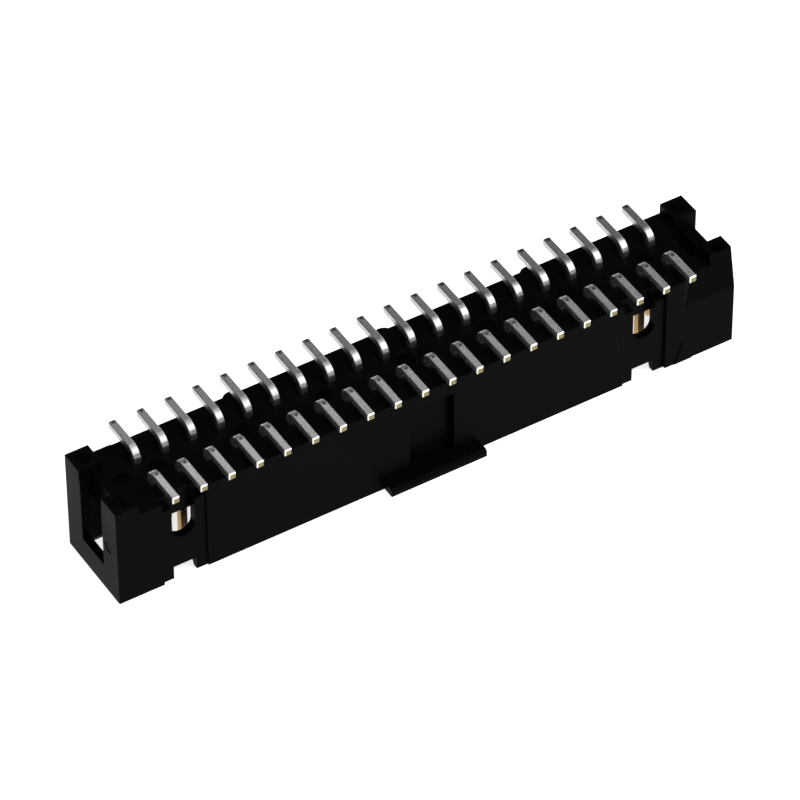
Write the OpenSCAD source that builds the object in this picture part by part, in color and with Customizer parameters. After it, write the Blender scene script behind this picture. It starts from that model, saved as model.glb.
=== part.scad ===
// Surface-mount shrouded box header, two rows of square contacts on a 2.54 mm pitch.
// Frame: X runs along the rows, +Y points to the plain wall, +Z to the solder side.
// The mating mouth lies in the plane Z = 0 and the rows are centred on X = Y = 0.

/* [Contacts] */
// Number of contact columns
columns = 20; // [10:1:28]
// Distance between columns
pitch = 2.54; // [2.3:0.01:2.8]
// Distance between the two rows
row_pitch = 2.54; // [2.3:0.01:2.7]
// Thickness of the square contact wire
pin_t = 0.64; // [0.5:0.01:0.7]
// Break along the four long edges of the wire
pin_edge = 0.05; // [0.02:0.01:0.1]
// Height of the mating tips above the mouth
tip_z = 0.95; // [0.5:0.05:2]
// Length of the taper at the mating tip
tip_taper = 0.6; // [0.2:0.05:1]
// Width of the flat left on the mating tip
tip_flat = 0.24; // [0.1:0.02:0.4]
// Height of the solder tails' top face above the mouth
tail_top = 10.2; // [10.0:0.05:11]
// Distance from the header's centre plane to the cut ends of the tails
tail_reach = 5.15; // [4.4:0.05:7]
// Inner radius of the bend between post and tail
bend_r = 0.4; // [0.2:0.05:0.6]
// Bevel round the cut end of a tail
tail_bevel = 0.1; // [0.02:0.01:0.18]
// Gap between a contact and its hole on each side, 0 for a press fit
contact_gap = 0; // [0:0.005:0.05]

/* [Housing] */
// Length of housing beyond the first and last column
end_margin = 4.87; // [4.4:0.01:6]
// Width of the housing along the contact rows
body_w = 7.9; // [7.6:0.05:9]
// How far the end blocks stand proud of each long wall
block_proud = 0.08; // [0.02:0.01:0.3]
// Height of the housing from mouth to solder side
body_h = 8.83; // [8.5:0.01:9.4]
// Thickness of the floor that holds the contacts
floor_t = 2.5; // [1.6:0.05:3]
// Thickness of the long walls
wall_t = 0.9; // [0.75:0.01:1.0]
// Thickness of the end walls
end_wall_t = 0.9; // [0.6:0.05:1.0]
// Width of the lead-in chamfer round the mouth
lead_w = 0.2; // [0.05:0.01:0.3]
// Height of the lead-in chamfer round the mouth
lead_h = 0.5; // [0.2:0.05:0.9]

/* [Corner posts] */
// Height of the posts above the solder side
post_h = 0.97; // [0.3:0.01:1.1]
// Length of a post along the rows
post_l = 2.1; // [1.6:0.05:3]
// Width of the opening between the two posts of one end
post_gap = 3.6; // [2.6:0.05:4.2]
// Width of the pocket behind the end wall, measured from the end wall's inner face
pocket_l = 0.4; // [0.2:0.05:0.9]
// Width of the slot through the left end wall
slot_w = 3.4; // [2.4:0.05:3.6]
// Height of the left slot's sill above the mouth
slot_sill = 2.45; // [1:0.05:5]
// Height of the right end wall between the posts
saddle_z = 7.78; // [6.8:0.02:8.6]
// Height where the right near block starts to lean inwards
lean_z = 6; // [4:0.1:8]
// How far the leaning face has moved in at the post's top
lean_in = 0.72; // [0.2:0.02:1.2]
// Length of the leaning face from the right end
lean_l = 3.6; // [2:0.1:5]

/* [Key features in the near wall] */
// Width of the central key pocket
key_w = 4.14; // [3:0.02:5]
// Height of the key pocket's lower edge
key_z0 = 1; // [0.8:0.05:2]
// Height of the key pocket's upper edge
key_z1 = 7.35; // [6.6:0.05:8]
// Depth of the key pocket
key_depth = 0.65; // [0.3:0.01:0.7]
// Corner radius at the top of the key pocket
key_r = 0.4; // [0.1:0.05:1]
// Length of the bar below the key pocket
bar_l = 9; // [6:0.1:11]
// Reach of the bar out of the wall
bar_reach = 1.14; // [0.6:0.02:2]
// Thickness of the bar
bar_t = 0.72; // [0.5:0.02:0.95]
// Radius along the bar's upper outer edge
bar_r = 0.3; // [0.1:0.02:0.45]
// Columns from the left end to the left side window
window_step_left = 0.5; // [0.5:0.5:1.5]
// Columns from the right end to the right side window
window_step_right = 1.5; // [0.5:0.5:2.5]
// Width of a side window and of the notch below it
window_w = 2.08; // [1.4:0.02:2.6]
// Height of the window's rounded lower end
window_z = 4.25; // [3:0.05:5]
// Height of the notch at the mouth
notch_h = 1.25; // [0.5:0.05:2]
// Width of the recess round a window
recess_w = 4.06; // [3:0.02:4.6]
// Depth of the recess round a window
recess_d = 0.16; // [0.05:0.01:0.3]
// Height of the ledge cut into the wall above a window
ledge_z = 7.75; // [7:0.05:8.5]
// Depth of the ledge from the outer face of the wall
ledge_d = 0.75; // [0.4:0.05:0.9]

/* [Ribs and marks] */
// Number of half-round ribs on the far wall
rib_count = 3; // [2:1:5]
// Distance between the ribs
rib_pitch = 14; // [8:0.5:15]
// Radius of a rib
rib_r = 0.95; // [0.6:0.05:1.2]
// How far a rib stands out of the wall
rib_out = 0.36; // [0.1:0.02:0.6]
// Diameter of the ejector marks on the posts
mark_d = 1.3; // [0.6:0.1:1.6]
// Diameter of the ejector marks along the floor
floor_mark_d = 1.5; // [0.8:0.1:1.6]
// Depth of the ejector marks
mark_depth = 0.05; // [0.02:0.01:0.1]
// Columns between the ejector marks along the floor
mark_step = 3; // [2:1:6]
// Width of the triangle that marks the first contact
tri_w = 1.74; // [1:0.05:2.4]
// Height of the triangle
tri_h = 2.15; // [1:0.05:3]
// How far the triangle stands proud
tri_out = 0.07; // [0.03:0.01:0.2]

/* [Hidden] */
$fn = 48;
eps = 0.01;
sides = ["near", "far"];
function two_digits(n) = n < 10 ? str("0", n) : str(n);
function contact_name(side, column) = str("contact_", side, "_", two_digits(column));

body_l = (columns - 1) * pitch + 2 * end_margin;
block_w = body_w + 2 * block_proud;
floor_z = body_h - floor_t;
post_top = body_h + post_h;
near_y = -body_w / 2;
block_near_y = -block_w / 2;
mouth_l = body_l - 2 * end_wall_t;
mouth_w = body_w - 2 * wall_t;
window_xs = [-(columns - 1) / 2 * pitch + window_step_left * pitch,
             (columns - 1) / 2 * pitch - window_step_right * pitch];
bend_mid_r = bend_r + pin_t / 2;
function column_x(column) = (column - (columns + 1) / 2) * pitch;

// Profile given as [y, z] points, run along X from x0 to x1
module along_x(x0, x1) {
    translate([x0, 0, 0]) rotate([90, 0, 90]) linear_extrude(height = x1 - x0) children();
}

// Profile given as [x, z] points, run along Y from y0 to y1
module along_y(y0, y1) {
    translate([0, y1, 0]) rotate([90, 0, 0]) linear_extrude(height = y1 - y0) children();
}

module box(low, high) {
    translate(low) cube(high - low);
}

// ---- contact ----------------------------------------------------------

module wire_section() {
    h = pin_t / 2;
    c = h - pin_edge;
    polygon([[h, c], [c, h], [-c, h], [-h, c], [-h, -c], [-c, -h], [c, -h], [h, -c]]);
}

// Straight wire whose full section starts at z = 0 and narrows to flat over taper at its far end
module wire(length, taper, flat) {
    h = pin_t / 2;
    outline = [[-h, 0], [h, 0], [h, length - taper], [flat / 2, length], [-flat / 2, length], [-h, length - taper]];
    intersection() {
        linear_extrude(height = length) wire_section();
        along_x(-pin_t, pin_t) polygon(outline);
        along_y(-pin_t, pin_t) polygon(outline);
    }
}

// Contact of the far row at the origin column, its tail running towards +Y.
// It is built round the centre of its bend, so that post, bend and tail share their joint planes.
module contact_shape() {
    bend_y = row_pitch / 2 + bend_mid_r;
    bend_z = tail_top - pin_t / 2 - bend_mid_r;
    translate([0, bend_y, bend_z]) {
        translate([0, -bend_mid_r, 0]) mirror([0, 0, 1]) wire(bend_z - tip_z, tip_taper, tip_flat);
        rotate([90, 0, -90]) rotate_extrude(angle = 90) translate([bend_mid_r, 0]) wire_section();
        translate([0, 0, bend_mid_r]) rotate([-90, 0, 0])
            wire(tail_reach - bend_y, tail_bevel, pin_t - 2 * tail_bevel);
    }
}

module contact(side, column) {
    color("#c9b27a") translate([column_x(column), 0, 0])
        mirror([0, side == "near" ? 1 : 0, 0]) contact_shape();
}

// ---- housing ----------------------------------------------------------

module outer_body() {
    box([-body_l / 2, -body_w / 2, 0], [body_l / 2, body_w / 2, body_h]);
    end_block(-body_l / 2, window_xs[0] - recess_w / 2);
    end_block(window_xs[1] + recess_w / 2, body_l / 2);
    for (x = [-1, 1], y = [-1, 1]) post(x, y);
}

module end_block(x0, x1) {
    box([x0, -block_w / 2, 0], [x1, block_w / 2, body_h]);
}

module post(x_side, y_side) {
    x0 = body_l / 2 - post_l;
    y0 = post_gap / 2;
    mirror([x_side < 0 ? 1 : 0, 0, 0]) mirror([0, y_side < 0 ? 1 : 0, 0])
        box([x0, y0, body_h - eps], [body_l / 2, block_w / 2, post_top]);
}

// Bar that bridges the key pocket at the mouth
module key_bar() {
    y0 = near_y - bar_reach;
    along_x(-bar_l / 2, bar_l / 2) difference() {
        polygon([[near_y + eps, 0], [near_y + eps, bar_t], [y0, bar_t], [y0, 0]]);
        translate([y0 - eps, bar_t - bar_r]) difference() {
            square(bar_r + eps);
            translate([bar_r + eps, 0]) circle(r = bar_r);
        }
    }
}

module ribs() {
    intersection() {
        for (i = [0:rib_count - 1])
            translate([(i - (rib_count - 1) / 2) * rib_pitch, body_w / 2 + rib_out - rib_r, 0])
                cylinder(r = rib_r, h = body_h);
        box([-body_l / 2, body_w / 2 - eps, 0], [body_l / 2, body_w / 2 + rib_out, body_h]);
    }
}

module first_contact_mark() {
    x = column_x(columns);
    along_y(block_near_y - tri_out, block_near_y + eps)
        polygon([[x - tri_w / 2, 0], [x + tri_w / 2, 0], [x, tri_h]]);
}

// Cavity that takes the mating socket, with a lead-in round its mouth
module cavity() {
    intersection() {
        along_y(-body_w / 2, body_w / 2) mouth_outline(mouth_l / 2);
        along_x(-body_l / 2, body_l / 2) mouth_outline(mouth_w / 2);
    }
}

module mouth_outline(half) {
    wide = half + lead_w * (1 + eps / lead_h);
    polygon([[-wide, -eps], [wide, -eps], [half, lead_h], [half, floor_z], [-half, floor_z], [-half, lead_h]]);
}

module contact_holes() {
    hole = pin_t + 2 * contact_gap;
    for (column = [1:columns], y = [-row_pitch / 2, row_pitch / 2])
        translate([column_x(column) - hole / 2, y - hole / 2, floor_z - 1]) cube([hole, hole, floor_t + 2]);
}

module key_pocket() {
    along_y(near_y - eps, near_y + key_depth) {
        translate([-key_w / 2, key_z0]) square([key_w, key_z1 - key_r - key_z0]);
        translate([-key_w / 2 + key_r, key_z0]) square([key_w - 2 * key_r, key_z1 - key_z0]);
        for (x = [-1, 1]) translate([x * (key_w / 2 - key_r), key_z1 - key_r]) circle(r = key_r);
    }
}

// Recess, window, ledge and mouth notch of one side key
module side_key(x) {
    outside = block_near_y - 1;
    inside = near_y + wall_t + eps;
    r = window_w / 2;
    box([x - recess_w / 2, outside, -1], [x + recess_w / 2, near_y + recess_d, body_h + 1]);
    box([x - recess_w / 2, outside, ledge_z], [x + recess_w / 2, near_y + ledge_d, body_h + 1]);
    box([x - r, outside, -1], [x + r, inside, notch_h]);
    along_y(outside, inside) {
        translate([x, window_z + r]) circle(r = r);
        translate([x - r, window_z + r]) square([window_w, body_h + 1 - window_z - r]);
    }
}

// Slot through the left end wall, and the low right end wall with the pocket behind it
module end_openings() {
    pocket_x = mouth_l / 2 - pocket_l;
    box([-body_l / 2 - 1, -slot_w / 2, slot_sill], [-pocket_x, slot_w / 2, body_h + 1]);
    box([-mouth_l / 2, -post_gap / 2, floor_z - eps], [-pocket_x, post_gap / 2, body_h + 1]);
    box([pocket_x, -post_gap / 2, floor_z - eps], [mouth_l / 2, post_gap / 2, body_h + 1]);
    box([mouth_l / 2 - eps, -post_gap / 2, saddle_z], [body_l / 2 + 1, post_gap / 2, body_h + 1]);
}

// Wedge that leans the near face of the right end block inwards
module lean_cut() {
    slope = lean_in / (post_top - lean_z);
    top = post_top + 1;
    along_x(body_l / 2 - lean_l, body_l / 2 + 1) polygon([
        [block_near_y, lean_z],
        [block_near_y + slope * (top - lean_z), top],
        [block_near_y - 1, top],
        [block_near_y - 1, lean_z]]);
}

module ejector_marks() {
    post_x = body_l / 2 - post_l / 2;
    post_y = (post_gap + block_w) / 4;
    for (x = [-post_x, post_x], y = [-post_y, post_y])
        translate([x, y, post_top - mark_depth]) cylinder(d = mark_d, h = 1);
    for (x = [0:mark_step * pitch:body_l / 2 - post_l - floor_mark_d], s = [-1, 1])
        translate([s * x, 0, body_h - mark_depth]) cylinder(d = floor_mark_d, h = 1);
}

module housing() {
    color("#1b1b1d") difference() {
        union() {
            outer_body();
            key_bar();
            ribs();
            first_contact_mark();
        }
        cavity();
        contact_holes();
        key_pocket();
        for (x = window_xs) side_key(x);
        end_openings();
        lean_cut();
        ejector_marks();
    }
}

// ---- nodes ------------------------------------------------------------

housing();
for (side = sides, column = [1:columns])
    contact(side, column);
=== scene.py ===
"""Looks of a shrouded box header: black moulded housing, tinned tails and gold-plated posts.

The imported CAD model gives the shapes. The housing is shown as a copy of its solid with a few small
forms cut or added at its ends. The rest of the script is materials, lights, floor and camera.
"""

import math

import bmesh
import bpy
from mathutils import Matrix, Vector


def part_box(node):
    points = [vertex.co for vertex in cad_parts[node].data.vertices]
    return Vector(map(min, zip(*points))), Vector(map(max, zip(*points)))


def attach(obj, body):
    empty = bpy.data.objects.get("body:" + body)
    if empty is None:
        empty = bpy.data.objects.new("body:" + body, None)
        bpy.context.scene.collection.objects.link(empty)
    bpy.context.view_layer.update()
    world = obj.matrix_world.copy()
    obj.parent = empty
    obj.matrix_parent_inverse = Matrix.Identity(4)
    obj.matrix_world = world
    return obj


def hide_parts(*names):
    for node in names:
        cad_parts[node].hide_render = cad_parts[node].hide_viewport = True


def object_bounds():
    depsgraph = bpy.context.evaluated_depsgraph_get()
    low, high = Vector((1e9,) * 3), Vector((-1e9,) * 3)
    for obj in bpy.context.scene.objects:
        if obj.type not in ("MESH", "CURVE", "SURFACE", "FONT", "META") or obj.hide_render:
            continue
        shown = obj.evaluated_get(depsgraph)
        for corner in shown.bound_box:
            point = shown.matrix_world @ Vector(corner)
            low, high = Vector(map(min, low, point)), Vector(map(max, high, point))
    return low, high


MM = 0.001
PITCH = 2.54 * MM
EDGE_RADIUS = 0.07 * MM
MARK_DEPTH = 0.05 * MM

# The housing's own sizes in millimetres, the same as in the part's source
BODY_TOP = 8.83
FLOOR_UNDERSIDE = 6.33
BLOCK_NEAR_Y = -4.03
END_WALL = 0.9
POST_GAP = 3.6
SLOT_WIDTH = 3.4
SADDLE_TOP = 7.78
LEAN_FOOT = 6.0
LEAN_IN = 0.72
LEAN_LENGTH = 3.6

# The small forms at its ends, in millimetres. X lengths run inwards from the end face.
SADDLE_THICKNESS = 1.15
SADDLE_SEAT = 0.05          # how far the added slab reaches into the end wall
POCKET_LENGTH = 1.65
POCKET_BOTTOM = 5.0
LEFT_WALL = 0.7
SILL_CUT_TOP = 3.0
RUN_OUT_END = 4.9
END_MARK = (-2.6, 5.15)     # Y and Z
END_MARK_RADIUS = 0.55
FLOOR_MARK = (2.95, 0.1)    # distance from the end face, and Y
FLOOR_MARK_RADIUS = 0.75
CIRCLE_STEPS = 48
BITE = 0.1                  # how far the sill's cut runs past a face, so that no film is left
CLEAR = 1.0                 # how far the pocket and the run-out are cut outside the part

# Dark patches on the tails' top, in metres
PATCH_HALF_WIDTH = 0.2 * MM
TIP_PATCH_HALF_LENGTH = 0.34 * MM
TIP_PATCH_INSET = 0.2 * MM
BEND_PATCH_HALF_LENGTH = 0.16 * MM
BEND_PATCH_SHARE = 0.4       # of the tails' reach

# The paper that the part stands on, the surround and the lamps, in metres
PAPER_GLOW = 0.8
PAPER_GAP = 0.02 * MM       # keeps the paper off the plane of the mouth
PAPER_HALF = 3.0
WORLD_LIGHT = 0.35
LAMP_DISTANCE = 0.6

# The camera's lens in millimetres, its view in degrees, and its distance and target in millimetres
LENS = 268.6
SENSOR = 36.0
VIEW_AZIMUTH = 31.27
VIEW_ELEVATION = 43.68
VIEW_ROLL = -0.38
VIEW_DISTANCE = 480.2
VIEW_TARGET = (-0.6, 0.0, 4.7)

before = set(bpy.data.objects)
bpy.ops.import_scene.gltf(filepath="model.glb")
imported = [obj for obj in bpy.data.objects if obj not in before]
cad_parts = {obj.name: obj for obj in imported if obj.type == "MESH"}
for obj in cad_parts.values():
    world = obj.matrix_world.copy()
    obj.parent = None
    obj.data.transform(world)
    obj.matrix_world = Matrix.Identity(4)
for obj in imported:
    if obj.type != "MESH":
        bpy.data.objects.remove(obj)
cad_low, cad_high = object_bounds()
centre = (cad_low + cad_high) / 2
scene = bpy.context.scene


# ---- node helpers ------------------------------------------------------

def new_material(name):
    """A node material with only a Principled shader, and its tree and shader."""
    material = bpy.data.materials.new(name)
    material.use_nodes = True
    tree = material.node_tree
    return material, tree, tree.nodes["Principled BSDF"]


def node(tree, kind, **settings):
    made = tree.nodes.new(kind)
    for key, value in settings.items():
        setattr(made, key, value)
    return made


def set_inputs(target, **values):
    for key, value in values.items():
        target.inputs[key.replace("_", " ")].default_value = value


def math_node(tree, operation, first, second=None):
    made = node(tree, "ShaderNodeMath", operation=operation)
    for socket, value in zip(made.inputs, (first, second)):
        if value is None:
            continue
        if isinstance(value, (int, float)):
            socket.default_value = value
        else:
            tree.links.new(value, socket)
    return made.outputs[0]


def noise(tree, position, scale, detail=3.0, roughness=0.5):
    made = node(tree, "ShaderNodeTexNoise")
    set_inputs(made, Scale=scale, Detail=detail, Roughness=roughness)
    tree.links.new(position, made.inputs["Vector"])
    return made.outputs["Fac"]


def map_range(tree, value, from_low, from_high, to_low, to_high):
    made = node(tree, "ShaderNodeMapRange")
    set_inputs(made, From_Min=from_low, From_Max=from_high, To_Min=to_low, To_Max=to_high)
    tree.links.new(value, made.inputs["Value"])
    return made.outputs["Result"]


def grey(level):
    return (level, level, level, 1)


def mix_colour(tree, factor, first, second):
    made = node(tree, "ShaderNodeMix", data_type="RGBA")
    factor_socket, colour_a, colour_b = made.inputs[0], made.inputs[6], made.inputs[7]
    tree.links.new(factor, factor_socket)
    for socket, value in ((colour_a, first), (colour_b, second)):
        if isinstance(value, tuple):
            socket.default_value = value
        else:
            tree.links.new(value, socket)
    return made.outputs[2]


def add_bump(tree, shader, height, distance, strength):
    made = node(tree, "ShaderNodeBump")
    set_inputs(made, Strength=strength, Distance=distance)
    tree.links.new(height, made.inputs["Height"])
    tree.links.new(made.outputs["Normal"], shader.inputs["Normal"])
    return made


def split_axes(tree, position):
    axes = node(tree, "ShaderNodeSeparateXYZ")
    tree.links.new(position, axes.inputs[0])
    return axes.outputs


def background_ray(tree):
    """1 where the camera, a gloss or a glass sees the surface, 0 where it only lights the part."""
    path = node(tree, "ShaderNodeLightPath")
    seen = math_node(tree, "MAXIMUM", path.outputs["Is Camera Ray"], path.outputs["Is Glossy Ray"])
    return math_node(tree, "MAXIMUM", seen, path.outputs["Is Transmission Ray"])


# ---- materials ---------------------------------------------------------

def housing_material(mark_levels):
    """Black moulded thermoplastic: satin, faintly uneven in gloss, duller in the ejector marks."""
    material, tree, shader = new_material("black_thermoplastic")
    set_inputs(shader, Specular_IOR_Level=0.014, IOR=1.5)
    position = node(tree, "ShaderNodeTexCoord").outputs["Object"]
    cloud = noise(tree, position, 180.0, detail=2.0)
    grain = noise(tree, position, 9000.0, detail=2.0)
    colour = mix_colour(tree, cloud, grey(0.0014), (0.0024, 0.0024, 0.0025, 1))
    tree.links.new(in_marks(tree, position, mark_levels, colour), shader.inputs["Base Color"])
    tree.links.new(map_range(tree, cloud, 0.3, 0.7, 0.28, 0.40), shader.inputs["Roughness"])
    soft_edge = node(tree, "ShaderNodeBevel", samples=4)
    set_inputs(soft_edge, Radius=EDGE_RADIUS)
    bump = add_bump(tree, shader, grain, distance=0.004 * MM, strength=0.3)
    tree.links.new(soft_edge.outputs["Normal"], bump.inputs["Normal"])
    return material


def in_marks(tree, position, levels, colour):
    """Darkens the colour in the thin layers where the ejector marks have their floors."""
    axes = split_axes(tree, position)
    mask = 0.0
    for axis, level in levels:
        off = math_node(tree, "ABSOLUTE", math_node(tree, "SUBTRACT", axes[axis], level))
        mask = math_node(tree, "MAXIMUM", map_range(tree, off, 0.004 * MM, 0.01 * MM, 1.0, 0.0), mask)
    return mix_colour(tree, mask, colour, grey(0.0006))


def contact_material(body_top, tail_top, reach):
    """Square contact wire: gold inside the housing, dull tin outside, bare brass cut ends."""
    material, tree, shader = new_material("contact_plating")
    set_inputs(shader, Metallic=0.97)
    position = node(tree, "ShaderNodeTexCoord").outputs["Object"]
    axes = split_axes(tree, position)
    speck = noise(tree, position, 5000.0, detail=4.0, roughness=0.6)
    tinned = map_range(tree, axes["Z"], body_top - 1.2 * MM, body_top - 0.9 * MM, 0.0, 1.0)
    outward = math_node(tree, "ABSOLUTE", axes["Y"])
    cut = map_range(tree, outward, reach - 0.02 * MM, reach - 0.01 * MM, 0.0, 1.0)
    tin = tin_colour(tree, position, axes, speck, tail_top, reach)
    gold = mix_colour(tree, speck, (0.40, 0.24, 0.07, 1), (0.66, 0.44, 0.17, 1))
    brass = mix_colour(tree, speck, (0.14, 0.12, 0.045, 1), (0.32, 0.28, 0.14, 1))
    outside = mix_colour(tree, cut, tin, brass)
    tree.links.new(mix_colour(tree, tinned, gold, outside), shader.inputs["Base Color"])
    tree.links.new(map_range(tree, speck, 0.3, 0.7, 0.38, 0.24), shader.inputs["Roughness"])
    add_bump(tree, shader, speck, distance=0.012 * MM, strength=0.35)
    return material


def tin_colour(tree, position, axes, speck, tail_top, reach):
    """Dull tin with dark specks, drawing lines and dark patches on the tails' top, and painted shade
    that makes the far row greyer.
    """
    clean = map_range(tree, speck, 0.32, 0.42, 0.0, 1.0)
    tin = mix_colour(tree, clean, (0.08, 0.08, 0.078, 1), (0.78, 0.775, 0.76, 1))
    streak = noise(tree, stretched(tree, position), 1.0, detail=3.0)
    bright = map_range(tree, streak, 0.35, 0.65, 0.0, 0.7)
    tin = mix_colour(tree, bright, tin, (0.90, 0.895, 0.88, 1))
    # Painted shade: the far row's tails are mixed towards dark grey, standing in for the duller light
    # that falls on them.
    far_row_painted_shade = map_range(tree, axes["Y"], 0.0, PITCH / 4, 0.0, 0.6)
    tin = mix_colour(tree, far_row_painted_shade, tin, (0.19, 0.19, 0.185, 1))
    return mix_colour(tree, dark_patch_mask(tree, axes, tail_top, reach), tin, grey(0.02))


def stretched(tree, position):
    """Coordinates for fine drawing lines that run along Y, the length of a tail."""
    scaled = node(tree, "ShaderNodeMapping")
    set_inputs(scaled, Scale=(9000.0, 500.0, 9000.0))
    tree.links.new(position, scaled.inputs["Vector"])
    return scaled.outputs[0]


def dark_patch_mask(tree, axes, tail_top, reach):
    """Dark patches on the tails' top: at the far row's tips, at the near row's bends."""
    from_gap = math_node(tree, "PINGPONG", axes["X"], PITCH / 2)
    across = math_node(tree, "SUBTRACT", PITCH / 2, from_gap)
    side = math_node(tree, "DIVIDE", across, PATCH_HALF_WIDTH)
    tip_patch = (reach - TIP_PATCH_INSET, TIP_PATCH_HALF_LENGTH)
    bend_patch = (-BEND_PATCH_SHARE * reach, BEND_PATCH_HALF_LENGTH)
    mask = 0.0
    for place, half_length in (tip_patch, bend_patch):
        along = math_node(tree, "DIVIDE", math_node(tree, "SUBTRACT", axes["Y"], place), half_length)
        apart = math_node(tree, "ADD", square(tree, along), square(tree, side))
        mask = math_node(tree, "MAXIMUM", map_range(tree, apart, 0.3, 1.3, 0.85, 0.0), mask)
    top = map_range(tree, axes["Z"], tail_top - 0.08 * MM, tail_top - 0.04 * MM, 0.0, 1.0)
    return math_node(tree, "MULTIPLY", mask, top)


def square(tree, value):
    return math_node(tree, "MULTIPLY", value, value)


def floor_material():
    """White paper that keeps a soft shadow and reads white behind the part."""
    material, tree, shader = new_material("white_paper")
    set_inputs(shader, Base_Color=grey(0.8), Roughness=0.9, Specular_IOR_Level=0.1)
    glow = node(tree, "ShaderNodeEmission")
    strength = math_node(tree, "MULTIPLY", background_ray(tree), PAPER_GLOW)
    tree.links.new(strength, glow.inputs["Strength"])
    both = node(tree, "ShaderNodeAddShader")
    tree.links.new(shader.outputs[0], both.inputs[0])
    tree.links.new(glow.outputs[0], both.inputs[1])
    tree.links.new(both.outputs[0], tree.nodes["Material Output"].inputs["Surface"])
    return material


def white_world():
    """Soft grey surround for the light, white where camera, gloss or glass sees it."""
    world = bpy.data.worlds.new("surround")
    scene.world = world
    world.use_nodes = True
    tree = world.node_tree
    background = tree.nodes["Background"]
    strength = map_range(tree, background_ray(tree), 0.0, 1.0, WORLD_LIGHT, 1.0)
    tree.links.new(strength, background.inputs["Strength"])


def dress(name, material):
    """Gives a CAD node its material in every slot."""
    mesh_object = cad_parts[name]
    slots = mesh_object.data.materials
    if not slots:
        slots.append(material)
    for index in range(len(slots)):
        slots[index] = material


# ---- stage -------------------------------------------------------------

def floor():
    half = PAPER_HALF
    mesh = bpy.data.meshes.new("floor")
    corners = [(-half, -half), (half, -half), (half, half), (-half, half)]
    mesh.from_pydata([(x, y, cad_low.z - PAPER_GAP) for x, y in corners], [], [(0, 1, 2, 3)])
    made = bpy.data.objects.new("floor", mesh)
    scene.collection.objects.link(made)
    mesh.materials.append(floor_material())


def aim(thing, place, target, roll=0.0):
    """Puts a lamp or camera at place, looking at target."""
    turn = (target - place).to_track_quat("-Z", "Y").to_matrix().to_4x4()
    thing.matrix_world = Matrix.Translation(place) @ turn @ Matrix.Rotation(roll, 4, "Z")


def direction(azimuth, elevation):
    """Unit vector towards a place that looks at the part from this azimuth and elevation."""
    az, el = math.radians(azimuth), math.radians(elevation)
    return Vector((-math.sin(az) * math.cos(el), -math.cos(az) * math.cos(el), math.sin(el)))


def soft_box(name, azimuth, elevation, size, power):
    """A square lamp of this size in metres and power in watts, aimed at the part's centre."""
    lamp = bpy.data.lights.new(name, "AREA")
    lamp.shape = "SQUARE"
    lamp.size = size
    lamp.energy = power
    made = bpy.data.objects.new(name, lamp)
    scene.collection.objects.link(made)
    aim(made, centre + LAMP_DISTANCE * direction(azimuth, elevation), centre)


def camera():
    lens = bpy.data.cameras.new("camera")
    lens.lens = LENS
    lens.sensor_width = SENSOR
    lens.clip_start = 0.01
    lens.clip_end = 20.0
    made = bpy.data.objects.new("camera", lens)
    scene.collection.objects.link(made)
    target = Vector(VIEW_TARGET) * MM
    place = target + VIEW_DISTANCE * MM * direction(VIEW_AZIMUTH, VIEW_ELEVATION)
    aim(made, place, target, math.radians(VIEW_ROLL))
    scene.camera = made


# ---- housing shell -----------------------------------------------------

def convex_cutter(points):
    """A closed convex mesh object round the points, given in millimetres."""
    shape = bmesh.new()
    for point in points:
        shape.verts.new(Vector(point) * MM)
    bmesh.ops.convex_hull(shape, input=list(shape.verts))
    bmesh.ops.recalc_face_normals(shape, faces=shape.faces)
    mesh = bpy.data.meshes.new("cutter")
    shape.to_mesh(mesh)
    shape.free()
    made = bpy.data.objects.new("cutter", mesh)
    scene.collection.objects.link(made)
    return made


def box_points(low, high):
    return [(x, y, z) for x in (low[0], high[0]) for y in (low[1], high[1]) for z in (low[2], high[2])]


def disc_points(centre_point, axis, radius, half_depth):
    """Corners of a short cylinder whose axis is X or Z."""
    points = []
    for step in range(CIRCLE_STEPS):
        angle = math.tau * step / CIRCLE_STEPS
        a, b = radius * math.cos(angle), radius * math.sin(angle)
        for depth in (-half_depth, half_depth):
            offset = (depth, a, b) if axis == "X" else (a, b, depth)
            points.append(tuple(c + o for c, o in zip(centre_point, offset)))
    return points


def carve(piece, tool, operation):
    """Applies one boolean to the piece and removes its tool."""
    modifier = piece.modifiers.new("carve", "BOOLEAN")
    modifier.operation = operation
    modifier.solver = "EXACT"
    modifier.object = tool
    bpy.context.view_layer.update()
    done = bpy.data.meshes.new_from_object(piece.evaluated_get(bpy.context.evaluated_depsgraph_get()))
    piece.modifiers.clear()
    piece.data = done
    bpy.data.objects.remove(tool)


def added_saddle(end):
    """Corner points of the slab that makes the right end wall's top broader."""
    half = POST_GAP / 2
    inner, outer = end - SADDLE_THICKNESS, end - END_WALL + SADDLE_SEAT
    return box_points((inner, -half, FLOOR_UNDERSIDE), (outer, half, SADDLE_TOP))


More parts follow.
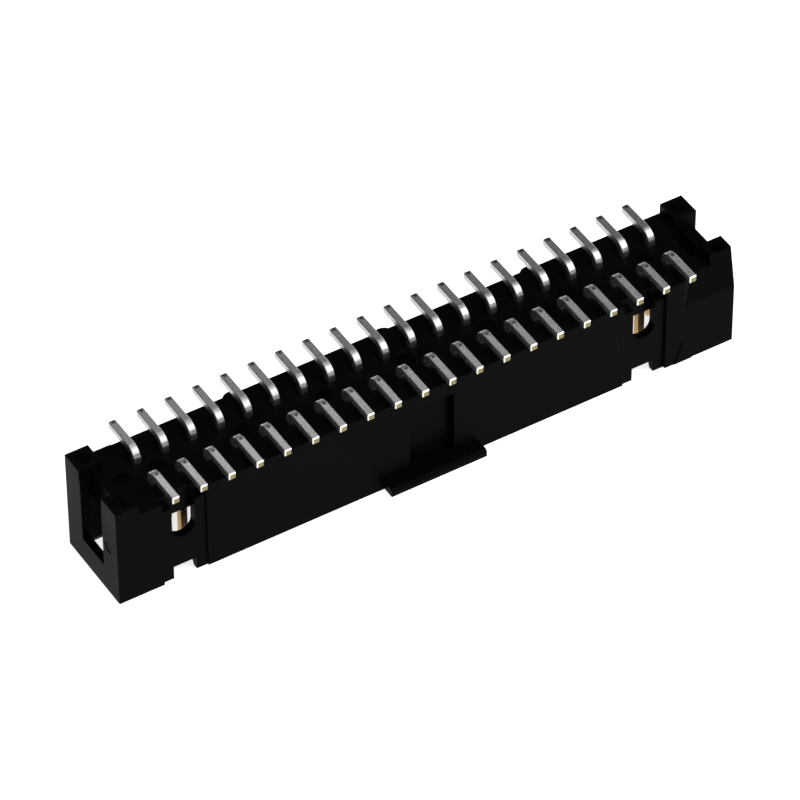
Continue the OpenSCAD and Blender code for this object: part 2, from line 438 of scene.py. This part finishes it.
def cut_shapes(end, post):
    """Corner points of each cut. end is half the housing's length and post is its posts' top."""
    half_gap, half_slot = POST_GAP / 2, SLOT_WIDTH / 2
    mark_depth = MARK_DEPTH / MM
    pocket_end = end - SADDLE_THICKNESS
    pocket_start = pocket_end - POCKET_LENGTH
    pocket = box_points((pocket_start, -half_gap, POCKET_BOTTOM), (pocket_end, half_gap, post + CLEAR))
    sill_start, sill_end = -end + LEFT_WALL, -end + END_WALL + BITE
    sill = box_points((sill_start, -half_slot, -BITE), (sill_end, half_slot, SILL_CUT_TOP))
    run_out = [
        (end - RUN_OUT_END, BLOCK_NEAR_Y, LEAN_FOOT),
        (end - LEAN_LENGTH, BLOCK_NEAR_Y, LEAN_FOOT),
        (end - RUN_OUT_END, BLOCK_NEAR_Y, post),
        (end - LEAN_LENGTH, BLOCK_NEAR_Y + LEAN_IN, post)]
    run_out += [(x, BLOCK_NEAR_Y - CLEAR, z) for x, _, z in run_out]
    end_mark = disc_points((-end, *END_MARK), "X", END_MARK_RADIUS, mark_depth)
    floor_place = (-end + FLOOR_MARK[0], FLOOR_MARK[1], BODY_TOP)
    floor_mark = disc_points(floor_place, "Z", FLOOR_MARK_RADIUS, mark_depth)
    return [pocket, sill, run_out, end_mark, floor_mark]


def housing_shell(material):
    """The moulding with its right-hand pocket, broad saddle, thin left sill and moulding marks."""
    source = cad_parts["housing"]
    shell = bpy.data.objects.new("housing_shell", source.data.copy())
    scene.collection.objects.link(shell)
    end = cad_high.x / MM
    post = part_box("housing")[1].z / MM
    carve(shell, convex_cutter(added_saddle(end)), "UNION")
    for points in cut_shapes(end, post):
        carve(shell, convex_cutter(points), "DIFFERENCE")
    shell.data.materials.clear()
    shell.data.materials.append(material)
    for polygon in shell.data.polygons:
        polygon.material_index = 0
    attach(shell, "root")
    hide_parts("housing")


# ---- assembly ----------------------------------------------------------

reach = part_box("contact_far_01")[1].y
tail_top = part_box("contact_far_01")[1].z
body_top = BODY_TOP * MM
post_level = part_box("housing")[1].z
plastic = housing_material([
    ("Z", body_top - MARK_DEPTH), ("Z", post_level - MARK_DEPTH), ("X", cad_low.x + MARK_DEPTH)])
plating = contact_material(body_top, tail_top, reach)
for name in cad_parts:
    if name != "housing":
        dress(name, plating)
housing_shell(plastic)

white_world()
floor()
soft_box("key_right", azimuth=-50, elevation=42, size=0.6, power=3.6)
soft_box("left_fill", azimuth=75, elevation=25, size=0.6, power=0.5)
soft_box("top_fill", azimuth=150, elevation=75, size=0.8, power=2.2)
camera()
scene.view_settings.view_transform = "Standard"
